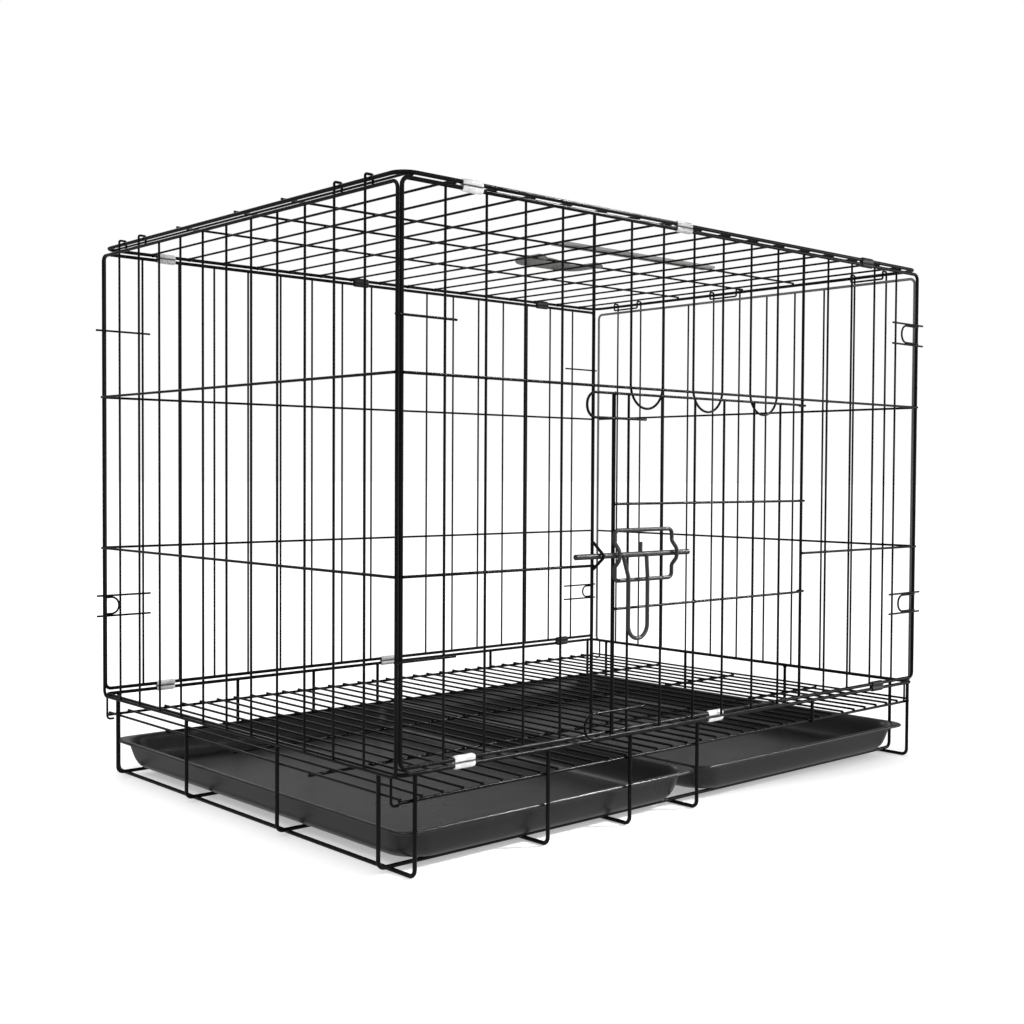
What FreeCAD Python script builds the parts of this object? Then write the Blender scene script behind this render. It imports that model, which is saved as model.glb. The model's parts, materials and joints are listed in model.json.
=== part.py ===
import FreeCAD
import Part
import math
import os

# Folding wire pet cage on a raised wire stand, with two trays under a wire floor.
# Millimetres, +Z up.  The front with the door faces -Y and +X runs to the right
# along the front.  Places are worked out from the middle of the cage's border
# wires; save() then moves every piece a few millimetres along Y, so that the origin
# is on the ground under the middle of the whole part, bolt and latches included.

# cage
wire_pitch = 35.0            # spacing of the uprights along the front
end_pitch = 34.5             # spacing of the uprights along an end
front_bays = 17              # spaces between uprights along the front
end_bays = 12                # spaces between uprights along an end
fill_r = 0.9                 # thin wires
frame_r = 1.45               # border wires and corner posts
end_frame_r = 1.25           # border wire of an end panel
rail_r = 1.0                 # long level wires
weld_sink = 0.08             # how far crossing wires are pressed into each other
wire_bend = 5.0              # bend radius at the corners of a panel border
panel_foot_z = 72.6          # axis of the lowest wire of front and back
panel_height = 370.7         # from that axis up to the top wire's axis
low_rail_share = 0.327       # height of the level wires, as shares of the panel
high_rail_share = 0.6722
hinge_gap = 1.0              # air between two wires held in one clip

# end panels
end_hang = 3.1               # an end panel hangs this far outside the posts
end_inset = 4.5              # its back side wire stands this far inside the back
left_front_inset = 0.4       # the left panel's front side wire stands beside the post
right_front_inset = 4.5      # the right one's stands behind it
end_drop = 6.4               # its top wire lies this far under its hinge wire
end_foot_z = 67.3            # axis of its lowest wire
tongue_in = 3.0              # how far a tongue reaches inside its hinge wire
tongue_drop = 4.2            # how far it dips under that wire's axis
tongue_air = 0.6             # air above the hinge wire inside a tongue
tongue_bend = 1.4
left_tongue_shares = (0.08, 0.83)         # first upright of each tongue
right_tongue_shares = (0.08, 0.5, 0.83)
hook_reach = 6.0             # length of a foot hook's toe
hook_drop = 18.2             # how far a foot hook hangs under the panel
hook_bend = 3.0

# corner latches on front and back
latch_r = 0.85
front_left_latch_shares = ((0.183,), (0.769,))
front_right_latch_shares = ((0.165, 0.213), (0.824, 0.874))
front_latch_bow = 27.0       # how far a bent wire bulges inwards
back_left_latch_shares = ((0.168, 0.215), (0.826,))
back_right_latch_shares = ((0.118, 0.159), (0.823,))
back_latch_bow = 12.0
latch_past = 5.0             # reach past the corner post
latch_tail = 8.0             # reach past the first upright
loop_round = 0.48            # share of a loop's height that each of its bends takes

# base stand
border_z = 68.2              # axis of the upper border wire
base_bend = 6.0
cradle_bend = 5.0
cross_cradle_shares = (0.020, 0.217, 0.357, 0.485, 0.988)
tie_share = 0.738            # short uprights between border and floor, front and back
long_cradle_shares = (0.055, 0.345, 0.660, 0.945)
grid_r = 0.95
grid_count = 35
grid_z = 52.4                # axis of the floor wires that run front to back
grid_rail_r = 1.15
grid_rail_count = 5

# top panel
border_bend = 12.0
cross_count = 17
cross_first = 9.0            # first cross wire, from the left hinge wire
cross_lift = 0.45
top_long_shares = (0.333, 0.486, 0.695)
strip_start_share = 0.450    # flat strip over the front long wire
strip_length = 196.0
strip_width = 15.0
strip_wall = 1.2

# carrying handle on top
handle_middle_share = 0.580
handle_span = 71.0
handle_depth = 31.0
handle_arm_w = 9.0
handle_arm_t = 5.0
grip_r = 5.5
grip_end_r = 5.2
eye_wall = 2.2
eye_fit = 0.1
handle_air = 0.3             # air between the lying handle and the cross wires

# sheet metal clips
clip_length = 17.0
clip_wall = 0.8
clip_fit = 0.1
front_clip_shares = (0.088, 0.520, 0.902)
back_clip_shares = (0.094, 0.506, 0.918)
top_clip_shares = (0.096, 0.449, 0.861)

# door
door_first = 5               # upright at the free side of the opening
door_last = 12               # upright that the door hinges on
door_post_r = 1.2
door_wire_r = 0.95
door_edge_r = 1.45
door_face = 5.6              # level wires of the door stand this far in front
door_edge_in = 18.0          # free edge, from the opening's post
door_bar_shares = (0.1325, 0.278, 0.430, 0.570, 0.721, 0.859)
door_post_out = 4.0          # the opening's free post stands this far outside its row
door_foot_short = 27.0       # the lowest door wire ends this far from the hinge post
door_sink = 1.7              # lowest door wire, under the lowest panel wire
door_height_share = 0.6633   # of the panel's height
door_level_shares = (0.0, 0.371, 0.678, 1.0)
curl_fit = 0.1
curl_turn = 250.0
curl_lead = 16.0
stop_past = 11.7             # how far a stop loop reaches past the opening's post
stop_rise = 17.8             # height of a stop loop
stop_back = 49.6             # length of its returning wire
hairpin_share = 0.3669       # length of the short uprights above the door

# slide bolt
bolt_r = 2.0
bolt_share = 0.3458          # height above the lowest panel wire
bolt_start = 23.9            # free tip, past the opening's post
bolt_length = 120.2
bolt_air = 0.4
guide_r = 1.5
guide_in = 16.6              # left side of the guide, from the opening's post
guide_width = 62.0
guide_up = 17.8
guide_down = 18.5
guide_bend = 4.0
guide_bulge_h = 9.0         # half height of the bulge round the bolt
pull_r = 1.5
pull_in = 25.5               # left leg of the pull, from the opening's post
pull_width = 20.3
pull_length = 60.5
pull_out = 3.2               # the pull hangs this far in front of the bolt
pull_shoulder = 16.0
pull_splay = 4.5             # its left leg starts this far to the left
nub_r = 1.3
nub_in = 43.4
nub_height = 7.0
keeper_r = 1.1
keeper_reach = 12.5          # how far its point stands in front of the post
keeper_half_h = 9.6
keeper_bend = 2.2

# trays
tray_wall = 1.6
tray_depth = 24.0
tray_side_air = 0.7          # air between a tray's lip and the front and back legs
tray_end_air = 4.0           # air between a tray's lip and the end legs
tray_between = 5.0           # space between the two trays
tray_lip = 4.0
tray_flare = 13.0
tray_bend = 22.0
tray_lip_bend = 11.0
tray_rest = 0.3

# derived places
length = front_bays * wire_pitch
width = end_bays * end_pitch
half_x = length / 2
half_y = width / 2
panel_top_z = panel_foot_z + panel_height
top_z = panel_top_z + 2 * frame_r + hinge_gap
end_x = half_x + end_hang
end_y = half_y - end_inset
end_top_z = top_z - end_drop
rail_out = fill_r + rail_r - weld_sink
post_x0 = -half_x + door_first * wire_pitch - door_post_out
post_x1 = -half_x + door_last * wire_pitch
door_y = -half_y - door_face
bar_y = door_y + 2 * door_wire_r - weld_sink
bolt_z = panel_foot_z + bolt_share * panel_height
bolt_y = bar_y - door_wire_r - bolt_air - bolt_r
cross_floor_z = frame_r
long_floor_z = 3 * frame_r - weld_sink
tray_foot_z = long_floor_z + frame_r + tray_rest
front_reach_y = bolt_y - pull_out - 2 * pull_r
back_reach_y = half_y + frame_r + 2 * latch_r - weld_sink
part_y = -(front_reach_y + back_reach_y) / 2

V = FreeCAD.Vector
os.makedirs("parts", exist_ok=True)


def rod(a, b, r):
    """Straight wire between two points."""
    a = V(*a)
    b = V(*b)
    return Part.makeCylinder(r, (b - a).Length, a, b - a)


def bend(corner, before, after, bend_r, r):
    """Round a corner: returns the bend and the two places where it starts and ends."""
    d1 = (corner - before).normalize()
    d2 = (after - corner).normalize()
    turn = d1.getAngle(d2)
    reach = bend_r * math.tan(turn / 2)
    start = corner - d1 * reach
    end = corner + d2 * reach
    axis = d1.cross(d2).normalize()
    centre = start + axis.cross(d1) * bend_r
    disc = Part.Face(Part.Wire(Part.makeCircle(r, start, d1)))
    return disc.revolve(centre, axis, math.degrees(turn)), start, end


def bent(points, bend_r, r, closed=False):
    """Wire through the points with rounded corners, as touching runs and bends."""
    pts = [V(*p) for p in points]
    n = len(pts)
    runs = []
    bends = {}
    corners = range(n) if closed else range(1, n - 1)
    for i in corners:
        bends[i] = bend(pts[i], pts[i - 1], pts[(i + 1) % n], bend_r, r)
        runs.append(bends[i][0])
    for i in range(n if closed else n - 1):
        j = (i + 1) % n
        a = bends[i][2] if i in bends else pts[i]
        b = bends[j][1] if j in bends else pts[j]
        runs.append(Part.makeCylinder(r, (b - a).Length, a, b - a))
    return runs


def joined(shapes):
    """One solid from touching runs."""
    whole = shapes[0].multiFuse(shapes[1:])
    return whole.removeSplitter().Solids[0]


def ball(p, r):
    return Part.makeSphere(r, V(*p))


def save(name, shapes):
    solids = []
    for s in shapes:
        solids.extend(s.Solids)
    whole = Part.makeCompound(solids)
    whole.translate(V(0, part_y, 0))
    whole.exportStep("parts/" + name + ".step")
    print(name, len(solids))


def upright_x(i):
    return -half_x + i * wire_pitch


def upright_y(i):
    return -half_y + i * end_pitch


def ring_xy(x, y, z, bend_r, r):
    pts = [(-x, -y, z), (x, -y, z), (x, y, z), (-x, y, z)]
    return bent(pts, bend_r, r, closed=True)


def clip(x, y, low_z, high_z):
    """Folded sheet sleeve round two wires, one above the other."""
    inner = frame_r + clip_fit
    outer = inner + clip_wall
    half = clip_length / 2
    along = V(1, 0, 0)
    body = None
    for r in (outer, inner):
        a = Part.makeCylinder(r, clip_length, V(x - half, y, low_z), along)
        b = Part.makeCylinder(r, clip_length, V(x - half, y, high_z), along)
        web = Part.makeBox(clip_length, 2 * r, high_z - low_z,
                           V(x - half, y - r, low_z))
        slot = joined([a, b, web])
        body = slot if body is None else body.cut(slot)
    return body


def clip_row(y, low_z, high_z, shares):
    return [clip(-half_x + s * length, y, low_z, high_z) for s in shares]


# base stand
save("base_border", ring_xy(half_x, half_y, border_z, base_bend, frame_r))

leg_top = border_z - frame_r + weld_sink
cradles = []
for s in cross_cradle_shares:
    x = -half_x + s * length
    pts = [(x, -half_y, leg_top), (x, -half_y, cross_floor_z),
           (x, half_y, cross_floor_z), (x, half_y, leg_top)]
    cradles += bent(pts, cradle_bend, frame_r)
save("cross_cradles", cradles)

cradles = []
for s in long_cradle_shares:
    y = -half_y + s * width
    pts = [(-half_x, y, leg_top), (-half_x, y, long_floor_z),
           (half_x, y, long_floor_z), (half_x, y, leg_top)]
    cradles += bent(pts, cradle_bend, frame_r)
save("long_cradles", cradles)

# floor grid between the legs, its outer wires welded to them
grid_x = half_x - frame_r - grid_r + weld_sink
grid_y = half_y - frame_r - grid_rail_r + weld_sink
grid_step = 2 * grid_x / (grid_count - 1)
grid = []
for i in range(grid_count):
    x = -grid_x + i * grid_step
    grid.append(rod((x, -grid_y, grid_z), (x, grid_y, grid_z), grid_r))
save("floor_wires", grid)

rail_z = grid_z - grid_r - grid_rail_r + weld_sink
rail_reach = grid_x + grid_r
rails = []
for i in range(grid_rail_count):
    y = -grid_y + i * 2 * grid_y / (grid_rail_count - 1)
    rails.append(rod((-rail_reach, y, rail_z), (rail_reach, y, rail_z), grid_rail_r))
save("floor_rails", rails)

tie_x = -half_x + tie_share * length
tie_foot_z = rail_z - grid_rail_r
save("floor_ties", [rod((tie_x, y, tie_foot_z), (tie_x, y, leg_top), frame_r)
                    for y in (-half_y, half_y)])

save("base_clips_front", clip_row(-half_y, border_z, panel_foot_z,
                                  front_clip_shares))
save("base_clips_back", clip_row(half_y, border_z, panel_foot_z,
                                 back_clip_shares))


# front and back panels
def long_frame(y):
    pts = [(-half_x, y, panel_foot_z), (half_x, y, panel_foot_z),
           (half_x, y, panel_top_z), (-half_x, y, panel_top_z)]
    return bent(pts, wire_bend, frame_r, closed=True)


def long_upright(x, y, r):
    low = panel_foot_z + frame_r - weld_sink
    high = panel_top_z - frame_r + weld_sink
    return rod((x, y, low), (x, y, high), r)


def latches(y, out, left_shares, right_shares, reach):
    """Corner latches: short wires across the posts, and a bent wire in each pair."""
    wires = []
    bows = []
    wire_y = y + out * (frame_r + latch_r - weld_sink)
    corners = [(-1, s) for s in left_shares] + [(1, s) for s in right_shares]
    for side, shares in corners:
        outer = side * (half_x + frame_r + latch_past)
        inner = side * (half_x - wire_pitch - latch_tail)
        levels = [panel_foot_z + s * panel_height for s in shares]
        for level in levels:
            wires.append(rod((outer, wire_y, level), (inner, wire_y, level), latch_r))
        if len(levels) > 1:
            low = levels[0] + 2 * latch_r - weld_sink
            high = levels[1] - 2 * latch_r + weld_sink
            near = side * (half_x - frame_r)
            far = near - side * reach
            pts = [(near, wire_y, high), (far, wire_y, high),
                   (far, wire_y, low), (near, wire_y, low)]
            bows.append(joined(bent(pts, (high - low) * loop_round, latch_r)))
    return wires, bows


front_y = -half_y
back_y = half_y
rail_low_z = panel_foot_z + low_rail_share * panel_height
rail_high_z = panel_foot_z + high_rail_share * panel_height

save("front_frame", long_frame(front_y))
front_full = [i for i in range(1, front_bays) if i < door_first or i > door_last]
save("front_uprights", [long_upright(upright_x(i), front_y, fill_r) for i in front_full])
save("door_posts", [long_upright(x, front_y, door_post_r) for x in (post_x0, post_x1)])

front_rail_y = front_y - rail_out
save("front_rails", [
    rod((-half_x, front_rail_y, rail_high_z), (half_x, front_rail_y, rail_high_z),
        rail_r),
    rod((-half_x, front_rail_y, rail_low_z), (post_x0, front_rail_y, rail_low_z),
        rail_r),
    rod((post_x1, front_rail_y, rail_low_z), (half_x, front_rail_y, rail_low_z),
        rail_r)])

# short uprights above the door, joined in pairs by a half round
pins = []
pin_top = panel_top_z - frame_r + weld_sink
pin_low = panel_top_z - hairpin_share * panel_height
for i in range(door_first + 1, door_last, 2):
    a = upright_x(i)
    b = upright_x(i + 1)
    pts = [(a, front_y, pin_top), (a, front_y, pin_low),
           (b, front_y, pin_low), (b, front_y, pin_top)]
    pins.append(joined(bent(pts, wire_pitch / 2 - weld_sink, fill_r)))
save("door_hairpins", pins)

wires, bows = latches(front_y, -1, front_left_latch_shares, front_right_latch_shares,
                      front_latch_bow)
save("front_latch_wires", wires)
save("front_latch_bows", bows)

# pointed keeper on the opening's post, round the bolt's tip
keep_y = front_y - door_post_r + weld_sink
tip_y = front_y - keeper_reach
keeper_pts = [(post_x0, keep_y, bolt_z + keeper_half_h),
              (post_x0, tip_y, bolt_z),
              (post_x0, keep_y, bolt_z - keeper_half_h)]
save("bolt_keeper", [joined(bent(keeper_pts, keeper_bend, keeper_r))])

save("back_frame", long_frame(back_y))
save("back_uprights", [long_upright(upright_x(i), back_y, fill_r)
                       for i in range(1, front_bays)])
back_rail_y = back_y + rail_out
save("back_rails", [
    rod((-half_x, back_rail_y, z), (half_x, back_rail_y, z), rail_r)
    for z in (rail_low_z, rail_high_z)])
wires, bows = latches(back_y, 1, back_left_latch_shares, back_right_latch_shares,
                      back_latch_bow)
save("back_latch_wires", wires)
save("back_latch_bows", bows)


# top panel
save("top_border", ring_xy(half_x, half_y, top_z, border_bend, frame_r))
cross_z = top_z + cross_lift
cross_y = half_y - frame_r + weld_sink
cross = []
for i in range(cross_count):
    x = -half_x + cross_first + i * wire_pitch
    cross.append(rod((x, -cross_y, cross_z), (x, cross_y, cross_z), fill_r))
save("top_cross_wires", cross)

long_z = top_z + frame_r + fill_r - weld_sink
long_ys = [-half_y + s * width for s in top_long_shares]
save("top_long_wires", [rod((-half_x, y, long_z), (half_x, y, long_z), fill_r)
                        for y in long_ys])

# flat strip folded over the front long wire
strip_x = -half_x + strip_start_share * length
strip_y = long_ys[0]
bore = fill_r + clip_fit
shell = Part.makeBox(strip_length, strip_width, bore + strip_wall,
                     V(strip_x, strip_y - strip_width / 2, long_z))
ridge = Part.makeCylinder(bore, strip_length, V(strip_x, strip_y, long_z), V(1, 0, 0))
save("top_strip", [shell.cut(ridge)])

save("top_clips_front", clip_row(front_y, panel_top_z, top_z, top_clip_shares))
save("top_clips_back", clip_row(back_y, panel_top_z, top_z, top_clip_shares))

# carrying handle, lying on the top and turning on the middle long wire
axis_y = long_ys[1]
mid_x = -half_x + handle_middle_share * length
eye_r = fill_r + eye_fit
eye_out = eye_r + eye_wall
arms = []
for arm_x in (mid_x - handle_span / 2, mid_x + handle_span / 2):
    x0 = arm_x - handle_arm_w / 2
    eye = Part.makeCylinder(eye_out, handle_arm_w, V(x0, axis_y, long_z),
                            V(1, 0, 0))
    arm_z = long_z - fill_r + handle_air
    arm = Part.makeBox(handle_arm_w, handle_depth, handle_arm_t, V(x0, axis_y, arm_z))
    bore = Part.makeCylinder(eye_r, handle_arm_w, V(x0, axis_y, long_z), V(1, 0, 0))
    flat = Part.makeBox(handle_arm_w, 2 * eye_out, eye_out,
                        V(x0, axis_y - eye_out, arm_z - eye_out))
    arms.append(joined([eye, arm]).cut(bore).cut(flat))
save("handle_arms", arms)
grip_z = long_z - fill_r + handle_air + grip_r
grip_y = axis_y + handle_depth + grip_r - weld_sink
half_grip = handle_span / 2 + handle_arm_w / 2
along = V(1, 0, 0)
left = Part.makeCone(grip_end_r, grip_r, half_grip, V(mid_x - half_grip, grip_y, grip_z),
                     along)
right = Part.makeCone(grip_r, grip_end_r, half_grip, V(mid_x, grip_y, grip_z), along)
save("handle_grip", [joined([left, right])])


# end panels
def end_panel(name, side, tongue_shares, front_inset):
    x = side * end_x
    front_y = -half_y + front_inset
    pts = [(x, front_y, end_foot_z), (x, end_y, end_foot_z),
           (x, end_y, end_top_z), (x, front_y, end_top_z)]
    save(name + "_frame", bent(pts, wire_bend, end_frame_r, closed=True))
    low = end_foot_z + end_frame_r - weld_sink
    high = end_top_z - end_frame_r + weld_sink
    save(name + "_uprights", [rod((x, upright_y(i), low), (x, upright_y(i), high), fill_r)
                              for i in range(1, end_bays)])
    out = x + side * rail_out
    save(name + "_rails", [rod((out, front_y, z), (out, end_y, z), rail_r)
                           for z in (rail_low_z, rail_high_z)])
    # tongues: the tops of two uprights run over the hinge wire and join inside it
    root_z = end_top_z + end_frame_r - weld_sink
    crown_z = top_z + frame_r + tongue_air + fill_r
    dip_z = top_z - tongue_drop
    inner = side * (half_x - tongue_in)
    tongues = []
    for s in tongue_shares:
        i = round(s * end_bays)
        a = upright_y(i)
        b = upright_y(i + 1)
        pts = [(x, a, root_z), (x, a, crown_z), (inner, a, crown_z), (inner, a, dip_z),
               (inner, b, dip_z), (inner, b, crown_z), (x, b, crown_z), (x, b, root_z)]
        tongues.append(joined(bent(pts, tongue_bend, fill_r)))
    save(name + "_tongues", tongues)
    # foot hooks: down outside the stand, with a toe under its floor wire
    hooks = []
    hook_top = end_foot_z - end_frame_r + weld_sink
    toe_z = end_foot_z - hook_drop - grid_r
    for y in (front_y + wire_bend, end_y - wire_bend):
        pts = [(x, y, hook_top), (x, y, toe_z), (x - side * hook_reach, y, toe_z)]
        hooks.append(joined(bent(pts, hook_bend, fill_r)))
    save(name + "_hooks", hooks)


end_panel("left_end", -1, left_tongue_shares, left_front_inset)
end_panel("right_end", 1, right_tongue_shares, right_front_inset)


# door
door_foot_z = panel_foot_z - door_sink
edge_x = post_x0 + door_edge_in
open_w = post_x1 - post_x0
door_height = door_height_share * panel_height
levels = [door_foot_z + s * door_height for s in door_level_shares]
curl_r = door_post_r + door_wire_r + curl_fit


def hinge_curl(z):
    """Level wire's end, led in and wrapped round the hinge post."""
    lead_x = post_x1 - curl_lead
    dx = post_x1 - lead_x
    dy = front_y - door_y
    dist = math.hypot(dx, dy)
    to_axis = math.atan2(dy, dx)
    off = math.asin(curl_r / dist)
    heading = to_axis - off
    reach = math.sqrt(dist ** 2 - curl_r ** 2)
    touch = V(lead_x + reach * math.cos(heading), door_y + reach * math.sin(heading), z)
    run = V(math.cos(heading), math.sin(heading), 0)
    disc = Part.Face(Part.Wire(Part.makeCircle(door_wire_r, touch, run)))
    curl = disc.revolve(V(post_x1, front_y, z), V(0, 0, 1), curl_turn)
    lead = rod((lead_x, door_y, z), tuple(touch), door_wire_r)
    return [ball((lead_x, door_y, z), door_wire_r), lead, curl]


def stop_loop(z, up, start_x):
    """Level wire that turns back in a loop in front of the opening's post."""
    tip = post_x0 - stop_past
    pts = [(start_x, door_y, z), (tip, door_y, z),
           (tip, door_y, z + up), (tip + stop_past + stop_back, door_y, z + up)]
    return bent(pts, stop_rise * loop_round, door_wire_r)


# the lowest wire lies in front of the panel's lowest wire and has a plain end
foot_wire = stop_loop(levels[0], stop_rise, post_x1 - door_foot_short)
head_wire = stop_loop(levels[-1], -stop_rise, post_x1 - curl_lead)
save("door_borders", [joined(foot_wire), joined(head_wire + hinge_curl(levels[-1]))])
rails = []
for z in levels[1:-1]:
    rail = rod((edge_x - door_edge_r, door_y, z), (post_x1 - curl_lead, door_y, z),
               door_wire_r)
    rails.append(joined([rail] + hinge_curl(z)))
save("door_rails", rails)

bar_low = levels[0] - door_wire_r
bar_high = levels[-1] + door_wire_r
edge_y = door_y + door_wire_r + door_edge_r - weld_sink
save("door_edge", [rod((edge_x, edge_y, bar_low), (edge_x, edge_y, bar_high),
                       door_edge_r)])
save("door_bars", [rod((post_x0 + s * open_w, bar_y, bar_low),
                       (post_x0 + s * open_w, bar_y, bar_high), door_wire_r)
                   for s in door_bar_shares])

# guide for the bolt: a rounded ring whose sides bulge out round the bolt
guide_y = bar_y - door_wire_r - guide_r + weld_sink
guide_out_y = bolt_y - bolt_r - bolt_air - guide_r
gx0 = post_x0 + guide_in
gx1 = gx0 + guide_width
gz0 = bolt_z - guide_down
gz1 = bolt_z + guide_up
crest = bolt_r + guide_r
guide_path = [(gx0, guide_y, gz1), (gx1, guide_y, gz1),
              (gx1, guide_y, bolt_z + guide_bulge_h), (gx1, guide_out_y, bolt_z + crest),
              (gx1, guide_out_y, bolt_z - crest), (gx1, guide_y, bolt_z - guide_bulge_h),
              (gx1, guide_y, gz0), (gx0, guide_y, gz0),
              (gx0, guide_y, bolt_z - guide_bulge_h), (gx0, guide_out_y, bolt_z - crest),
              (gx0, guide_out_y, bolt_z + crest), (gx0, guide_y, bolt_z + guide_bulge_h)]
save("bolt_guide", [joined(bent(guide_path, guide_bend, guide_r, closed=True))])

# bolt
rod_x = post_x0 - bolt_start
save("bolt_rod", [rod((rod_x, bolt_y, bolt_z), (rod_x + bolt_length, bolt_y, bolt_z),
                      bolt_r)])
px0 = post_x0 + pull_in
px1 = px0 + pull_width
pull_y = bolt_y - pull_out
low_z = bolt_z - pull_length
shoulder_z = bolt_z - pull_shoulder
start_y = bolt_y - bolt_r - pull_r + weld_sink
pull_path = [(px0 - pull_splay, start_y, bolt_z), (px0, pull_y - pull_r, shoulder_z),
             (px0, pull_y - pull_r, low_z), (px1, pull_y - pull_r, low_z),
             (px1, pull_y - pull_r, shoulder_z), (px1, start_y, bolt_z)]
save("bolt_pull", [joined(bent(pull_path, pull_width / 2 - weld_sink, pull_r))])
nub_x = post_x0 + nub_in
nub_z = bolt_z + bolt_r - weld_sink
save("bolt_nub", [rod((nub_x, bolt_y, nub_z), (nub_x, bolt_y, nub_z + nub_height),
                      nub_r)])


# trays
def rounded(x0, x1, y0, y1, z, r):
    pts = [V(x0, y0, z), V(x1, y0, z), V(x1, y1, z), V(x0, y1, z)]
    edges = []
    k = r * (1 - math.sqrt(0.5))
    starts = [V(x0 + r, y0, z), V(x1, y0 + r, z), V(x1 - r, y1, z), V(x0, y1 - r, z)]
    ends = [V(x1 - r, y0, z), V(x1, y1 - r, z), V(x0 + r, y1, z), V(x0, y0 + r, z)]
    mids = [V(x1 - k, y0 + k, z), V(x1 - k, y1 - k, z), V(x0 + k, y1 - k, z),
            V(x0 + k, y0 + k, z)]
    for i in range(len(pts)):
        edges.append(Part.LineSegment(starts[i], ends[i]).toShape())
        edges.append(Part.Arc(ends[i], mids[i], starts[(i + 1) % len(pts)]).toShape())
    return Part.Wire(edges)


def tray(x0, x1):
    """Shallow tray with flared sides and a flat lip."""
    y1 = half_y - frame_r - tray_side_air
    lip_z = tray_foot_z + tray_depth
    parts = []
    for wall in (0, tray_wall):
        inset = tray_lip + wall
        foot = inset + tray_flare
        low = rounded(x0 + foot, x1 - foot, -y1 + foot, y1 - foot,
                      tray_foot_z + wall, tray_bend - wall)
        high = rounded(x0 + inset, x1 - inset, -y1 + inset, y1 - inset,
                       lip_z, tray_bend - wall)
        parts.append(Part.makeLoft([low, high], True, True))
    lip = Part.Face(rounded(x0, x1, -y1, y1, lip_z - tray_wall, tray_lip_bend))
    plate = lip.extrude(V(0, 0, tray_wall))
    return parts[0].fuse(plate).cut(parts[1]).removeSplitter().Solids[0]


tray_x = half_x - frame_r - tray_end_air
save("tray_left", [tray(-tray_x, -tray_between / 2)])
save("tray_right", [tray(tray_between / 2, tray_x)])
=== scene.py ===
# %% [markdown]
# A folding wire pet cage on a raised stand.  The frame in model.glb is loaded first.  It is
# in metres, stands on the ground at the origin and moves at its joints, so every piece that
# is added here goes where the frame says and rides on it.

# %% Load the frame
import bpy
import bmesh
import json
import math
from mathutils import Matrix, Vector


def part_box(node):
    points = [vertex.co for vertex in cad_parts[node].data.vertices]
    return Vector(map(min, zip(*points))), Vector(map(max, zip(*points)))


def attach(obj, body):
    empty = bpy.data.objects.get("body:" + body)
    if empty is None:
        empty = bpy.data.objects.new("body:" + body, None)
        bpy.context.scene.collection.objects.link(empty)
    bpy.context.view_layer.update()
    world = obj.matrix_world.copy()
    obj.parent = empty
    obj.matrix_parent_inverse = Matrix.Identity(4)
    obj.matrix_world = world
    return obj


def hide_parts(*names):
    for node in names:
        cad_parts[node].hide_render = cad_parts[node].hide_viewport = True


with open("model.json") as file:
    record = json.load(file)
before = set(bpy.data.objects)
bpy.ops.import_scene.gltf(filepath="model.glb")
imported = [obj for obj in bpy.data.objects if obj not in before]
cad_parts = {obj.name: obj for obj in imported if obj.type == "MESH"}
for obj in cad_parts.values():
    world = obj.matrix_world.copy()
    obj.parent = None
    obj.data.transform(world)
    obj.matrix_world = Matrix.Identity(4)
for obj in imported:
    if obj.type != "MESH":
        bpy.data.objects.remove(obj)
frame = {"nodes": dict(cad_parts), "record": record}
NODES = frame["nodes"]
RECORD = frame["record"]
BODY_OF = {n: body for body, names in RECORD["behaviour"]["bodies"].items() for n in names}
SLOT_OF = {s["node"]: s["material_slot"] for s in RECORD["subparts"]}
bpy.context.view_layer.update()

# %% [markdown]
# The camera stands low, in front of the left corner, as in the photograph.  Its place and
# angles were found from the wire crossings, so they are given as plain numbers.  A camera
# looks along its own -Z, which is why its third column is the reverse of the view.

# %% Camera
CAMERA_PLACE = (-0.81006, -0.87055, 0.25924)
CAMERA_YAW = math.radians(47.7966)
CAMERA_PITCH = math.radians(-1.6555)
CAMERA_ROLL = math.radians(0.3207)
LENS_MM = 47.196
SENSOR_MM = 36
NEAREST = 0.05

ahead = Vector((math.cos(CAMERA_PITCH) * math.cos(CAMERA_YAW),
                math.cos(CAMERA_PITCH) * math.sin(CAMERA_YAW),
                math.sin(CAMERA_PITCH)))
level = Vector((math.sin(CAMERA_YAW), -math.cos(CAMERA_YAW), 0))
upright = level.cross(ahead)
right = level * math.cos(CAMERA_ROLL) + upright * math.sin(CAMERA_ROLL)
up = upright * math.cos(CAMERA_ROLL) - level * math.sin(CAMERA_ROLL)
turn = Matrix((right, up, -ahead)).transposed().to_4x4()
camera_data = bpy.data.cameras.new("camera")
camera_data.lens = LENS_MM
camera_data.sensor_width = SENSOR_MM
camera_data.clip_start = NEAREST
camera = bpy.data.objects.new("camera", camera_data)
camera.matrix_world = Matrix.Translation(CAMERA_PLACE) @ turn
bpy.context.collection.objects.link(camera)
scene = bpy.context.scene
scene.camera = camera
print("camera", [round(c, 3) for c in camera.location])

# %% [markdown]
# A product photograph of black wire is taken in a white tent.  The tent lights the pale
# floor and the trays evenly, while what the wires mirror is darker than the white behind
# them, or they would turn grey.  The world does both: rays that a glossy surface sends out
# meet a dim grey, and all other rays meet white.

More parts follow.
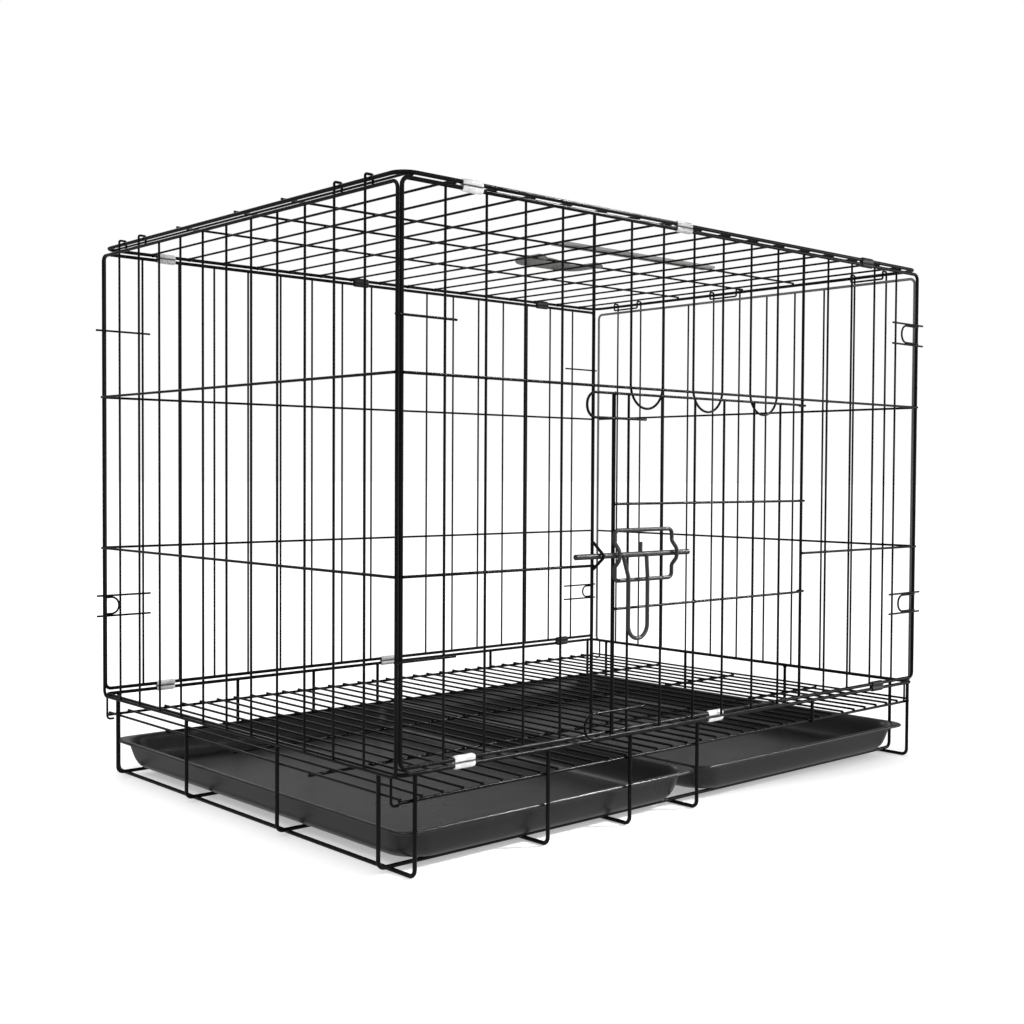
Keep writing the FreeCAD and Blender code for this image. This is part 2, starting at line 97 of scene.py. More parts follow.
# %% World
MIRRORED_TENT = 0.28
scene.view_settings.view_transform = "Standard"
world = bpy.data.worlds.new("tent")
world.use_nodes = True
tent = world.node_tree
tent.nodes.clear()
ray = tent.nodes.new("ShaderNodeLightPath")
tone = tent.nodes.new("ShaderNodeMix")
tone.data_type = "FLOAT"
tone.inputs["A"].default_value = 1.0
tone.inputs["B"].default_value = MIRRORED_TENT
tent_light = tent.nodes.new("ShaderNodeBackground")
tent_light.inputs["Color"].default_value = (1, 1, 1, 1)
tent_out = tent.nodes.new("ShaderNodeOutputWorld")
tent.links.new(ray.outputs["Is Glossy Ray"], tone.inputs["Factor"])
tent.links.new(tone.outputs["Result"], tent_light.inputs["Strength"])
tent.links.new(tent_light.outputs["Background"], tent_out.inputs["Surface"])
scene.world = world
print("world", world.name)

# %% [markdown]
# The floor is a plain pale sheet, wide enough to reach far behind the cage.  It glows a
# little, as a lit sheet of paper seems to, so that it meets the white wall of the tent
# without a line.  What is mirrored of it is dimmed in the same way as the tent.

# %% Floor
FLOOR_HALF = 30.0
FLOOR_TONE, MIRRORED_FLOOR = 0.78, 0.08
FLOOR_GLOW = 0.36
floor_mesh = bpy.data.meshes.new("studio_floor")
floor_mesh.from_pydata([(-FLOOR_HALF, -FLOOR_HALF, 0), (FLOOR_HALF, -FLOOR_HALF, 0),
                        (FLOOR_HALF, FLOOR_HALF, 0), (-FLOOR_HALF, FLOOR_HALF, 0)],
                       [], [(0, 1, 2, 3)])
floor = bpy.data.objects.new("studio_floor", floor_mesh)
bpy.context.collection.objects.link(floor)
floor_finish = bpy.data.materials.new("studio_floor")
floor_finish.use_nodes = True
floor_shader = floor_finish.node_tree.nodes["Principled BSDF"]
floor_ray = floor_finish.node_tree.nodes.new("ShaderNodeLightPath")
floor_tone = floor_finish.node_tree.nodes.new("ShaderNodeMapRange")
floor_tone.inputs["To Min"].default_value = FLOOR_TONE
floor_tone.inputs["To Max"].default_value = MIRRORED_FLOOR
for source, target in ((floor_ray.outputs["Is Glossy Ray"], floor_tone.inputs["Value"]),
                       (floor_tone.outputs["Result"], floor_shader.inputs["Base Color"])):
    floor_finish.node_tree.links.new(source, target)
floor_shader.inputs["Roughness"].default_value = 1.0
floor_shader.inputs["Specular IOR Level"].default_value = 0.0
floor_shader.inputs["Emission Color"].default_value = (1, 1, 1, 1)
floor_shader.inputs["Emission Strength"].default_value = FLOOR_GLOW
floor_mesh.materials.append(floor_finish)
print("floor", floor.dimensions[:2])

# %% [markdown]
# Soft lights draw the sheen.  A round wire sends light on only if the light's slope along
# the wire is the camera's, turned over.  So the upright wires show the low light on the
# right, the wires that run along the cage show the two high, narrow ones beside it, and the
# trays' rims show the one on the left.  A weak one from behind catches the tops, and a very
# dim, wide one behind the cage is what the flat floors of the trays mirror.  The camera
# sees none of them.


# %% Lights
def soft_light(name, place, aim, size, watts, spread=180):
    """Round soft light at a place, aimed at a point, with its beam's width in degrees."""
    data = bpy.data.lights.new(name, "AREA")
    data.shape = "DISK"
    data.size = size
    data.energy = watts
    data.spread = math.radians(spread)
    lamp = bpy.data.objects.new(name, data)
    lamp.location = place
    lamp.rotation_euler = (Vector(aim) - Vector(place)).to_track_quat("-Z", "Y").to_euler()
    lamp.visible_camera = False
    bpy.context.collection.objects.link(lamp)


soft_light("right_light", (1.9, -1.5, 0.35), (0.1, 0, 0.2), 0.8, 8)
soft_light("rail_light", (0.77, -0.8, 0.83), (-0.1, -0.2, 0.06), 0.2, 0.35, 20)
soft_light("edge_light", (0.421, -0.522, 0.947), (-0.12, -0.202, 0.453), 0.12, 0.06, 9)
soft_light("left_light", (-1.7, -0.6, 1.9), (0, 0, 0.15), 1.0, 9)
soft_light("back_light", (0.3, 2.0, 1.6), (0, 0, 0.2), 1.2, 8)
soft_light("tray_light", (1.9, 2.2, 0.7), (-0.1, -0.1, 0), 2.4, 2.4)

# %% [markdown]
# Real coats share their flaws: grain, dust and rubbed places.  Each flaw could be built
# anew in every material, but a shader group is built once, with named inputs, and every
# finish uses it.  The helpers make a node, link two nodes, do arithmetic and set up a
# group.


# %% Helpers for node trees
def add(tree, kind, values=None, **settings):
    """A node with its settings and unlinked input values."""
    node = tree.nodes.new(kind)
    for name, value in settings.items():
        setattr(node, name, value)
    for name, value in (values or {}).items():
        node.inputs[name].default_value = value
    return node


def wire(tree, source, target):
    """Link from (node, output) to (node, input)."""
    tree.links.new(source[0].outputs[source[1]], target[0].inputs[target[1]])


def maths(tree, kind, *values):
    """Output of a maths node; each value is a number or a socket."""
    node = add(tree, "ShaderNodeMath", operation=kind)
    for socket, value in zip(node.inputs, values):
        if isinstance(value, (int, float)):
            socket.default_value = value
        else:
            tree.links.new(value, socket)
    return node.outputs["Value"]


def node_group(name, kind, inputs, outputs):
    """An empty group with its named sockets, its input node and its output node."""
    tree = bpy.data.node_groups.new(name, kind)
    for label, socket_type, value in inputs:
        socket = tree.interface.new_socket(label, in_out="INPUT", socket_type=socket_type)
        if value is not None:
            socket.default_value = value
    for label, socket_type in outputs:
        tree.interface.new_socket(label, in_out="OUTPUT", socket_type=socket_type)
    return tree, tree.nodes.new("NodeGroupInput"), tree.nodes.new("NodeGroupOutput")


def shader_group(name, inputs, outputs):
    """An empty group for effects that finishes share."""
    return node_group(name, "ShaderNodeTree", inputs, outputs)


FLOAT, VECTOR = "NodeSocketFloat", "NodeSocketVector"

# %% [markdown]
# The first effect is the grain of a coat.  A powder coat is not glass smooth: it has an
# orange-peel skin of about a millimetre and broad, faint changes of tone.  Noise gives both
# without an image.  It reads Object coordinates, which are the frame's own metres, so a
# scale of 1000 makes bumps of about a millimetre.


# %% Group: coat grain
def build_coat_grain():
    """Height of the fine skin, and a mask of the broad patches."""
    tree, given, result = shader_group(
        "coat_grain",
        [("Position", VECTOR, None), ("Grain Scale", FLOAT, 900.0),
         ("Patch Scale", FLOAT, 14.0)],
        [("Height", FLOAT), ("Patches", FLOAT)])
    peel = add(tree, "ShaderNodeTexNoise", {"Detail": 2.0, "Roughness": 0.6})
    patch = add(tree, "ShaderNodeTexNoise", {"Detail": 3.0, "Roughness": 0.55})
    spread = add(tree, "ShaderNodeMapRange",
                 {"From Min": 0.35, "From Max": 0.65, "To Min": 0.0, "To Max": 1.0},
                 interpolation_type="SMOOTHSTEP")
    wire(tree, (given, "Position"), (peel, "Vector"))
    wire(tree, (given, "Grain Scale"), (peel, "Scale"))
    wire(tree, (given, "Position"), (patch, "Vector"))
    wire(tree, (given, "Patch Scale"), (patch, "Scale"))
    wire(tree, (patch, "Fac"), (spread, "Value"))
    wire(tree, (peel, "Fac"), (result, "Height"))
    wire(tree, (spread, "Result"), (result, "Patches"))
    return tree


COAT_GRAIN = build_coat_grain()
print("group", COAT_GRAIN.name, len(COAT_GRAIN.nodes), "nodes")

# %% [markdown]
# Dust settles on what faces up, in clouds rather than evenly.  The group compares the
# surface's normal with the upright direction and breaks the result up with noise.


# %% Group: settled dust
def build_settled_dust():
    """Mask of the dust on what faces up."""
    tree, given, result = shader_group(
        "settled_dust",
        [("Position", VECTOR, None), ("Amount", FLOAT, 0.3), ("Cloud Scale", FLOAT, 30.0)],
        [("Mask", FLOAT)])
    facing = add(tree, "ShaderNodeNewGeometry")
    split = add(tree, "ShaderNodeSeparateXYZ")
    top = add(tree, "ShaderNodeMapRange",
              {"From Min": 0.25, "From Max": 1.0, "To Min": 0.0, "To Max": 1.0})
    cloud = add(tree, "ShaderNodeTexNoise", {"Detail": 4.0, "Roughness": 0.65})
    ragged = add(tree, "ShaderNodeMapRange",
                 {"From Min": 0.38, "From Max": 0.72, "To Min": 0.0, "To Max": 1.0})
    wire(tree, (facing, "Normal"), (split, "Vector"))
    wire(tree, (split, "Z"), (top, "Value"))
    wire(tree, (given, "Position"), (cloud, "Vector"))
    wire(tree, (given, "Cloud Scale"), (cloud, "Scale"))
    wire(tree, (cloud, "Fac"), (ragged, "Value"))
    both = maths(tree, "MULTIPLY", top.outputs["Result"], ragged.outputs["Result"])
    scaled = maths(tree, "MULTIPLY", both, given.outputs["Amount"])
    tree.links.new(scaled, result.inputs["Mask"])
    return tree


SETTLED_DUST = build_settled_dust()
print("group", SETTLED_DUST.name, len(SETTLED_DUST.nodes), "nodes")

# %% [markdown]
# Wear is where the coat has been rubbed or knocked off: sparse specks, each with a ragged
# edge.  A high threshold on fine noise gives specks, and a second, broader noise decides in
# which places there are any at all.


# %% Group: rubbed specks
def build_rubbed_specks():
    """Mask of the sparse worn specks."""
    tree, given, result = shader_group(
        "rubbed_specks",
        [("Position", VECTOR, None), ("Speck Scale", FLOAT, 320.0),
         ("Place Scale", FLOAT, 9.0), ("Amount", FLOAT, 0.5)],
        [("Mask", FLOAT)])
    speck = add(tree, "ShaderNodeTexNoise", {"Detail": 5.0, "Roughness": 0.7})
    place = add(tree, "ShaderNodeTexNoise", {"Detail": 2.0})
    sharp = add(tree, "ShaderNodeMapRange",
                {"From Min": 0.62, "From Max": 0.70, "To Min": 0.0, "To Max": 1.0})
    where = add(tree, "ShaderNodeMapRange",
                {"From Min": 0.50, "From Max": 0.66, "To Min": 0.0, "To Max": 1.0})
    wire(tree, (given, "Position"), (speck, "Vector"))
    wire(tree, (given, "Speck Scale"), (speck, "Scale"))
    wire(tree, (given, "Position"), (place, "Vector"))
    wire(tree, (given, "Place Scale"), (place, "Scale"))
    wire(tree, (speck, "Fac"), (sharp, "Value"))
    wire(tree, (place, "Fac"), (where, "Value"))
    both = maths(tree, "MULTIPLY", sharp.outputs["Result"], where.outputs["Result"])
    scaled = maths(tree, "MULTIPLY", both, given.outputs["Amount"])
    tree.links.new(scaled, result.inputs["Mask"])
    return tree


RUBBED_SPECKS = build_rubbed_specks()
print("group", RUBBED_SPECKS.name, len(RUBBED_SPECKS.nodes), "nodes")

# %% [markdown]
# A finish is then a recipe of these effects: two tones that the broad patches mix, a worn
# colour, a range of roughness, the depth of the grain and how much dust and wear there is.
# The constants of the surface, such as its specular level, sit on the Principled shader.


# %% Helpers for finishes
DUST = (0.16, 0.155, 0.145)
STEEL = (0.35, 0.34, 0.33)
DUST_DULLS = 0.35             # how much rougher a place full of dust is
COAT_RELIEF = 0.0002          # height of the grain at full depth


def use_group(tree, group, **values):
    """A group's node with its input values; a _ in a name stands for a space."""
    node = tree.nodes.new("ShaderNodeGroup")
    node.node_tree = group
    for label, value in values.items():
        node.inputs[label.replace("_", " ")].default_value = value
    return node


def blend_colours(tree, mask, below, above):
    """Mix a colour over a colour or over an earlier mix, and give the mix's output."""
    mix = add(tree, "ShaderNodeMix", data_type="RGBA")
    wire(tree, mask, (mix, "Factor"))
    under, over = (s for s in mix.inputs if s.type == "RGBA")
    if isinstance(below, tuple):
        under.default_value = (*below, 1)
    else:
        tree.links.new(below, under)
    over.default_value = (*above, 1)
    return next(s for s in mix.outputs if s.type == "RGBA")


# %% Coated finishes
def coated(name, dark, light, worn, rough, specular, grain, depth, dust, wear,
           patch=14.0, speck=320.0, worn_metal=False):
    """Finish with grain, patches, rubbed specks and dust."""
    m = bpy.data.materials.new(name)
    m.use_nodes = True
    tree = m.node_tree
    shader = tree.nodes["Principled BSDF"]
    place = add(tree, "ShaderNodeTexCoord")
    skin = use_group(tree, COAT_GRAIN, Grain_Scale=grain, Patch_Scale=patch)
    rubbed = use_group(tree, RUBBED_SPECKS, Speck_Scale=speck, Amount=wear)
    dusty = use_group(tree, SETTLED_DUST, Amount=dust)
    for node in (skin, rubbed, dusty):
        wire(tree, (place, "Object"), (node, "Position"))
    tones = blend_colours(tree, (skin, "Patches"), dark, light)
    specked = blend_colours(tree, (rubbed, "Mask"), tones, worn)
    dusted = blend_colours(tree, (dusty, "Mask"), specked, DUST)
    tree.links.new(dusted, shader.inputs["Base Color"])
    gloss = add(tree, "ShaderNodeMapRange",
                {"From Min": 0.0, "From Max": 1.0, "To Min": rough[0], "To Max": rough[1]})
    wire(tree, (skin, "Patches"), (gloss, "Value"))
    dulled = maths(tree, "MULTIPLY_ADD", dusty.outputs["Mask"], DUST_DULLS,
                   gloss.outputs["Result"])
    tree.links.new(dulled, shader.inputs["Roughness"])
    relief = add(tree, "ShaderNodeBump", {"Strength": depth, "Distance": COAT_RELIEF})
    wire(tree, (skin, "Height"), (relief, "Height"))
    wire(tree, (relief, "Normal"), (shader, "Normal"))
    if worn_metal:
        tree.links.new(rubbed.outputs["Mask"], shader.inputs["Metallic"])
    shader.inputs["Specular IOR Level"].default_value = specular
    return m


black_wire = coated("black_wire", (0.002, 0.002, 0.0022), (0.0045, 0.0045, 0.0048),
                    STEEL, (0.26, 0.38), specular=0.15, grain=500.0, depth=0.01,
                    dust=0.005, wear=0.01, worn_metal=True)
satin_wire = coated("satin_wire", (0.020, 0.0195, 0.0186), (0.034, 0.033, 0.0315),
                    STEEL, (0.38, 0.5), specular=0.4, grain=1600.0, depth=0.05,
                    dust=0.03, wear=0.1, worn_metal=True)
# Painted sheen: a lighter grey coat for the right-hand end frame, standing in for the light
# from the right on its posts.
painted_sheen_wire = coated("painted_sheen_wire", (0.10, 0.098, 0.094), (0.135, 0.132, 0.127),
                     STEEL, (0.4, 0.5), specular=0.4, grain=900.0, depth=0.05,
                     dust=0.03, wear=0.1, worn_metal=True)
tray_plastic = coated("tray_plastic", (0.008, 0.008, 0.0084), (0.012, 0.012, 0.0125),
                      (0.05, 0.05, 0.052), (0.27, 0.36), specular=0.5, grain=1200.0,
                      depth=0.06, dust=0.035, wear=0.2, patch=7.0, speck=500.0)
grey_plastic = coated("grey_plastic", (0.125, 0.123, 0.119), (0.165, 0.163, 0.157),
                      (0.2, 0.2, 0.195), (0.42, 0.55), specular=0.4, grain=1400.0,
                      depth=0.25, dust=0.15, wear=0.4, patch=25.0)
grey_metal = coated("grey_metal", (0.22, 0.215, 0.205), (0.31, 0.303, 0.29),
                    (0.4, 0.4, 0.39), (0.32, 0.45), specular=0.5, grain=1100.0,
                    depth=0.2, dust=0.1, wear=0.5, patch=30.0, worn_metal=True)
print("finishes", [m.name for m in (black_wire, satin_wire, painted_sheen_wire, tray_plastic,
                                    grey_plastic, grey_metal)])

# %% [markdown]
# Zinc plating is bright and cool.  The sheet was drawn through rollers before it was
# folded, so fine scratches run one way, along X here, and the plating clouds a little.
# Where the two folded edges meet there is a dark seam, which the clip's mesh marks with
# an attribute.  A second attribute, one number for each clip, darkens some of the clips
# towards black by that share.


# %% Zinc finish
ZINC_CLOUDED, ZINC_BRIGHT = (0.62, 0.62, 0.62), (0.86, 0.86, 0.85)
CLIP_BLACK = (0.012, 0.012, 0.013)
SEAM_BLACK = (0.01, 0.01, 0.01)
SCRATCHES = (60, 2500, 2500)          # long along X, fine across it
SCRATCH_RELIEF = 0.0001


def build_zinc():
    """Plated sheet, with the clip's own seam and its darkening."""
    m = bpy.data.materials.new("zinc_clip")
    m.use_nodes = True
    tree = m.node_tree
    shader = tree.nodes["Principled BSDF"]
    place = add(tree, "ShaderNodeTexCoord")
    stretch = add(tree, "ShaderNodeMapping", {"Scale": SCRATCHES})
    drawn = add(tree, "ShaderNodeTexNoise", {"Scale": 1.0, "Detail": 3.0})
    cloud = use_group(tree, COAT_GRAIN, Grain_Scale=700.0, Patch_Scale=160.0)
    seam = add(tree, "ShaderNodeAttribute", attribute_name="seam")
    dark = add(tree, "ShaderNodeMapRange",
               {"From Min": 0.2, "From Max": 0.9, "To Min": 0.0, "To Max": 1.0})
    wire(tree, (place, "Object"), (stretch, "Vector"))
    wire(tree, (stretch, "Vector"), (drawn, "Vector"))
    wire(tree, (place, "Object"), (cloud, "Position"))
    wire(tree, (seam, "Fac"), (dark, "Value"))
    dipped = add(tree, "ShaderNodeAttribute", attribute_name="dipped")
    plating = blend_colours(tree, (cloud, "Patches"), ZINC_CLOUDED, ZINC_BRIGHT)
    coat = blend_colours(tree, (dipped, "Fac"), plating, CLIP_BLACK)
    seamed = blend_colours(tree, (dark, "Result"), coat, SEAM_BLACK)
    tree.links.new(seamed, shader.inputs["Base Color"])
    gloss = add(tree, "ShaderNodeMapRange",
                {"From Min": 0.3, "From Max": 0.7, "To Min": 0.3, "To Max": 0.5})
    wire(tree, (drawn, "Fac"), (gloss, "Value"))
    tree.links.new(gloss.outputs["Result"], shader.inputs["Roughness"])
    relief = add(tree, "ShaderNodeBump", {"Strength": 0.3, "Distance": SCRATCH_RELIEF})
    wire(tree, (drawn, "Fac"), (relief, "Height"))
    wire(tree, (relief, "Normal"), (shader, "Normal"))
    shader.inputs["Metallic"].default_value = 0.25
    shader.inputs["Specular IOR Level"].default_value = 0.6
    return m


zinc_clip = build_zinc()
print("finish", zinc_clip.name)

# %% [markdown]
# Every node of the frame now gets the finish of its slot.  Fingers have rubbed the bolt
# and its guide, so those are greyer than the other wires.  The frame of the right-hand end
# is the greyest: that grey is a painted sheen, in place of the light from the right on its
# posts.

# %% Finishes on the frame's own pieces
FINISH = {"black_wire": black_wire, "zinc_clip": zinc_clip, "black_clip": zinc_clip,
          "grey_metal": grey_metal, "grey_plastic": grey_plastic,
          "tray_plastic": tray_plastic}
# The bolt's parts get the rubbed coat; the right-hand end frame gets the painted sheen.
HANDLED_AND_SHEEN = {"bolt_rod": satin_wire, "bolt_pull": satin_wire, "bolt_nub": satin_wire,
           "bolt_guide": satin_wire, "right_end_frame": painted_sheen_wire}
for name, ob in NODES.items():
    ob.data.materials.clear()
    ob.data.materials.append(HANDLED_AND_SHEEN.get(name, FINISH[SLOT_OF[name]]))
print("painted", len(NODES), "nodes")

# %% [markdown]
# The wires are resistance welded: where two cross, they are squeezed together red hot and
# a small bead of metal is pushed out.  There are hundreds of crossings, so they are
# measured from the frame rather than listed.  Each piece of wire is one closed island in
# its node's mesh, and its box gives its direction and middle.


# %% Measure the straight wires
CORNER_GRID = 1e6             # corners are told apart to a millionth of a metre
THICKEST_WIRE = 0.0045
SLENDER = 3                   # a straight wire is at least so many times longer than thick


def wire_boxes(node):
    """Lowest and highest corners of every separate solid in a CAD node."""
    mesh = NODES[node].data
    owner = {}
    parent = []

    def root(i):
        while parent[i] != i:
            parent[i] = parent[parent[i]]
            i = parent[i]
        return i

    spot = []
    for v in mesh.vertices:
        key = tuple(round(c * CORNER_GRID) for c in v.co)
        if key not in owner:
            owner[key] = len(parent)
            parent.append(len(parent))
        spot.append(owner[key])
    for face in mesh.polygons:
        first = root(spot[face.vertices[0]])
        for i in face.vertices[1:]:
            parent[root(spot[i])] = first
    boxes = {}
    for v, i in zip(mesh.vertices, spot):
        low, high = boxes.setdefault(root(i), (v.co.copy(), v.co.copy()))
        for k in range(3):
            low[k] = min(low[k], v.co[k])
            high[k] = max(high[k], v.co[k])
    return list(boxes.values())


def straight_wires(nodes):
    """(axis, low, high) of the islands that are long on one axis and thin on the others."""
    found = []
    for node in nodes:
        for low, high in wire_boxes(node):
            size = high - low
            axis = max(range(3), key=lambda k: size[k])
            thin = [size[k] for k in range(3) if k != axis]
            if max(thin) < THICKEST_WIRE and size[axis] > SLENDER * max(thin):
                found.append((axis, low, high))
    return found


def crossings(wires):
    """Where wires of different axes touch: place, thinner width, squeeze axis."""
    spots = []
    for i, (axis_a, low_a, high_a) in enumerate(wires):
        for axis_b, low_b, high_b in wires[i + 1:]:
            if axis_a == axis_b:
                continue
            low = [max(low_a[k], low_b[k]) for k in range(3)]
            high = [min(high_a[k], high_b[k]) for k in range(3)]
            if any(high[k] - low[k] < 0 for k in range(3)):
                continue
            across = 3 - axis_a - axis_b
            place = Vector([(low[k] + high[k]) / 2 for k in range(3)])
            width = min([high_a[k] - low_a[k] for k in range(3) if k != axis_a]
                        + [high_b[k] - low_b[k] for k in range(3) if k != axis_b])
            spots.append((place, width, across))
    return spots


WELDED = {"base": ["base_border", "cross_cradles", "long_cradles", "floor_wires",
                   "floor_rails", "floor_ties"],
          "front": ["front_frame", "front_uprights", "door_posts", "front_rails",
                    "door_hairpins", "front_latch_wires"],
          "back": ["back_frame", "back_uprights", "back_rails", "back_latch_wires"],
          "top": ["top_border", "top_cross_wires", "top_long_wires"],
          "left_end": ["left_end_frame", "left_end_uprights", "left_end_rails"],
          "right_end": ["right_end_frame", "right_end_uprights", "right_end_rails"]}
WELD_SPOTS = {body: crossings(straight_wires(nodes)) for body, nodes in WELDED.items()}
print("weld spots", {body: len(spots) for body, spots in WELD_SPOTS.items()})

# %% [markdown]
# The door's level wires end in curls and loops, so their boxes are not thin.  Its welds
# are found from the upright bars instead: one where each bar's front meets each level.

# %% Welds of the door
door_levels = [(low.z + high.z) / 2 for low, high in wire_boxes("door_rails")]
border_low, border_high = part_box("door_borders")
rail_low, rail_high = wire_boxes("door_rails")[0]
half_rail = (rail_high.z - rail_low.z) / 2
door_levels += [border_low.z + half_rail, border_high.z - half_rail]
WELD_SPOTS["door"] = []
for low, high in wire_boxes("door_bars") + wire_boxes("door_edge"):
    for z in door_levels:
        place = Vector(((low.x + high.x) / 2, low.y, z))
        WELD_SPOTS["door"].append((place, 2 * half_rail, 1))
print("door welds", len(WELD_SPOTS["door"]))

# %% [markdown]
# Welds, clips and forged wire ends repeat.  They could be copied and placed one by one, but
# a Geometry Nodes tree makes one shape and puts it on every point of a mesh.  The points
# can carry attributes, such as a width or a direction.  The result is turned into a plain
# mesh that rides on its body.


# %% Helpers for geometry trees
SHAPE = "NodeSocketGeometry"


def geometry_tree(name, inputs):
    """An empty geometry group that also takes in a finish."""
    return node_group(name, "GeometryNodeTree",
                      [("Geometry", SHAPE, None), *inputs,
                       ("Finish", "NodeSocketMaterial", None)], [("Geometry", SHAPE)])


def put_on_points(tree, given, result, shape, **links):
    """Put the shape on every point, realize it, give it the finish and end the tree."""
    smooth = add(tree, "GeometryNodeSetShadeSmooth")
    place = add(tree, "GeometryNodeInstanceOnPoints")
    real = add(tree, "GeometryNodeRealizeInstances")
    coat = add(tree, "GeometryNodeSetMaterial")
    wire(tree, shape, (smooth, "Geometry"))
    wire(tree, (smooth, "Geometry"), (place, "Instance"))
    wire(tree, (given, "Geometry"), (place, "Points"))
    for label, source in links.items():
        wire(tree, source, (place, label))
    wire(tree, (place, "Instances"), (real, "Geometry"))
    wire(tree, (real, "Geometry"), (coat, "Geometry"))
    wire(tree, (given, "Finish"), (coat, "Material"))
    wire(tree, (coat, "Geometry"), (result, "Geometry"))


def vector_of(tree, **parts):
    """A vector node with linked X, Y or Z."""
    node = add(tree, "ShaderNodeCombineXYZ")
    for label, source in parts.items():
        tree.links.new(source, node.inputs[label])
    return node


def grow(name, start, tree, values, body, hides=()):
    """Run a tree on a start mesh and keep a plain mesh that rides on a body."""
    carrier = bpy.data.objects.new(name + "_carrier", start)
    bpy.context.collection.objects.link(carrier)
    modifier = carrier.modifiers.new("grow", "NODES")
    modifier.node_group = tree
    sockets = {s.name: s.identifier for s in tree.interface.items_tree
               if s.in_out == "INPUT"}
    for label, value in values.items():
        modifier[sockets[label]] = value
    bpy.context.view_layer.update()
    seen = carrier.evaluated_get(bpy.context.evaluated_depsgraph_get())
    mesh = bpy.data.meshes.new_from_object(seen)
    mesh.name = name
    carrier.modifiers.remove(modifier)
    bpy.data.objects.remove(carrier)
    piece = bpy.data.objects.new(name, mesh)
    bpy.context.collection.objects.link(piece)
    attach(piece, body)
    if hides:
        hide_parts(*hides)
    return piece


def point_mesh(name, points, **attributes):
    """A mesh of loose points with float or vector attributes."""
    mesh = bpy.data.meshes.new(name)
    mesh.from_pydata([tuple(p) for p in points], [], [])
    for label, column in attributes.items():
        if isinstance(column[0], (int, float)):
            layer = mesh.attributes.new(label, "FLOAT", "POINT")
            layer.data.foreach_set("value", column)
        else:
            layer = mesh.attributes.new(label, "FLOAT_VECTOR", "POINT")
            layer.data.foreach_set("vector", [c for v in column for c in v])
    return mesh


# %% [markdown]
# The first tree puts a flattened bead on every weld.  It turns each bead so that its flat
# side lies across the two wires, and varies its size a little with a fixed seed, as no two
# welds are the same.


# %% Weld beads
def build_weld_tree():
    """A flattened bead on every spot, across the two wires."""
    tree, given, result = geometry_tree(
        "weld_beads",
        [("Spread", FLOAT, 0.72), ("Height", FLOAT, 0.42), ("Unevenness", FLOAT, 0.18),
         ("Seed", "NodeSocketInt", 4)])
    bead = add(tree, "GeometryNodeMeshUVSphere",
               {"Segments": 8, "Rings": 5, "Radius": 1.0})
    width = add(tree, "GeometryNodeInputNamedAttribute", {"Name": "width"})
    squeeze = add(tree, "GeometryNodeInputNamedAttribute", {"Name": "squeeze"},
                  data_type="FLOAT_VECTOR")
    aim = add(tree, "FunctionNodeAlignRotationToVector", axis="Z")
    vary = add(tree, "FunctionNodeRandomValue", data_type="FLOAT")
    least, most = [s for s in vary.inputs if s.type == "VALUE"][:2]
    unevenness = given.outputs["Unevenness"]
    tree.links.new(maths(tree, "SUBTRACT", 1.0, unevenness), least)
    tree.links.new(maths(tree, "ADD", 1.0, unevenness), most)
    wire(tree, (given, "Seed"), (vary, "Seed"))
    chance = next(s for s in vary.outputs if s.type == "VALUE")
    girth = maths(tree, "MULTIPLY", width.outputs["Attribute"], chance)
    across = maths(tree, "MULTIPLY", girth, given.outputs["Spread"])
    tall = maths(tree, "MULTIPLY", girth, given.outputs["Height"])
    size = vector_of(tree, X=across, Y=across, Z=tall)
    wire(tree, (squeeze, "Attribute"), (aim, "Vector"))
    put_on_points(tree, given, result, (bead, "Mesh"),
                  Rotation=(aim, "Rotation"), Scale=(size, "Vector"))
    return tree


WELD_TREE = build_weld_tree()
AXES = (Vector((1, 0, 0)), Vector((0, 1, 0)), Vector((0, 0, 1)))
for body, spots in WELD_SPOTS.items():
    start = point_mesh(body + "_weld_spots", [s[0] for s in spots],
                       width=[s[1] for s in spots], squeeze=[AXES[s[2]] for s in spots])
    welds = grow(body + "_welds", start, WELD_TREE, {"Finish": black_wire},
                 body)
    print(welds.name, len(spots), "beads", len(welds.data.polygons), "faces")

# %% [markdown]
# Each clip is a strip of thin zinc sheet, folded round two wires and pressed, so that its
# section looks like a figure of eight and its edges meet in a seam along the middle.  A
# flat mesh could be bent into it, but a section made by a rule fits every pair of wires.
# It starts as a circle.  Its points are pushed up or down by half the distance of the
# wires, and its waist is drawn in.  The section then follows a short line, a little
# narrower at both ends where the sheet was dressed.


# %% Folded clips
LIFT_STEEPNESS = 4.0          # how soon a point away from the middle is fully lifted
WAIST_ENDS = 2.6              # the waist ends at the spacing divided by this
SEAM_SHARPNESS = 6.0          # how closely the dark seam keeps to the middle
DRESSED_SHARPNESS = 14.0      # how close to its ends the sleeve gets narrower
DRESSED_SHARE = 0.12          # and by which share


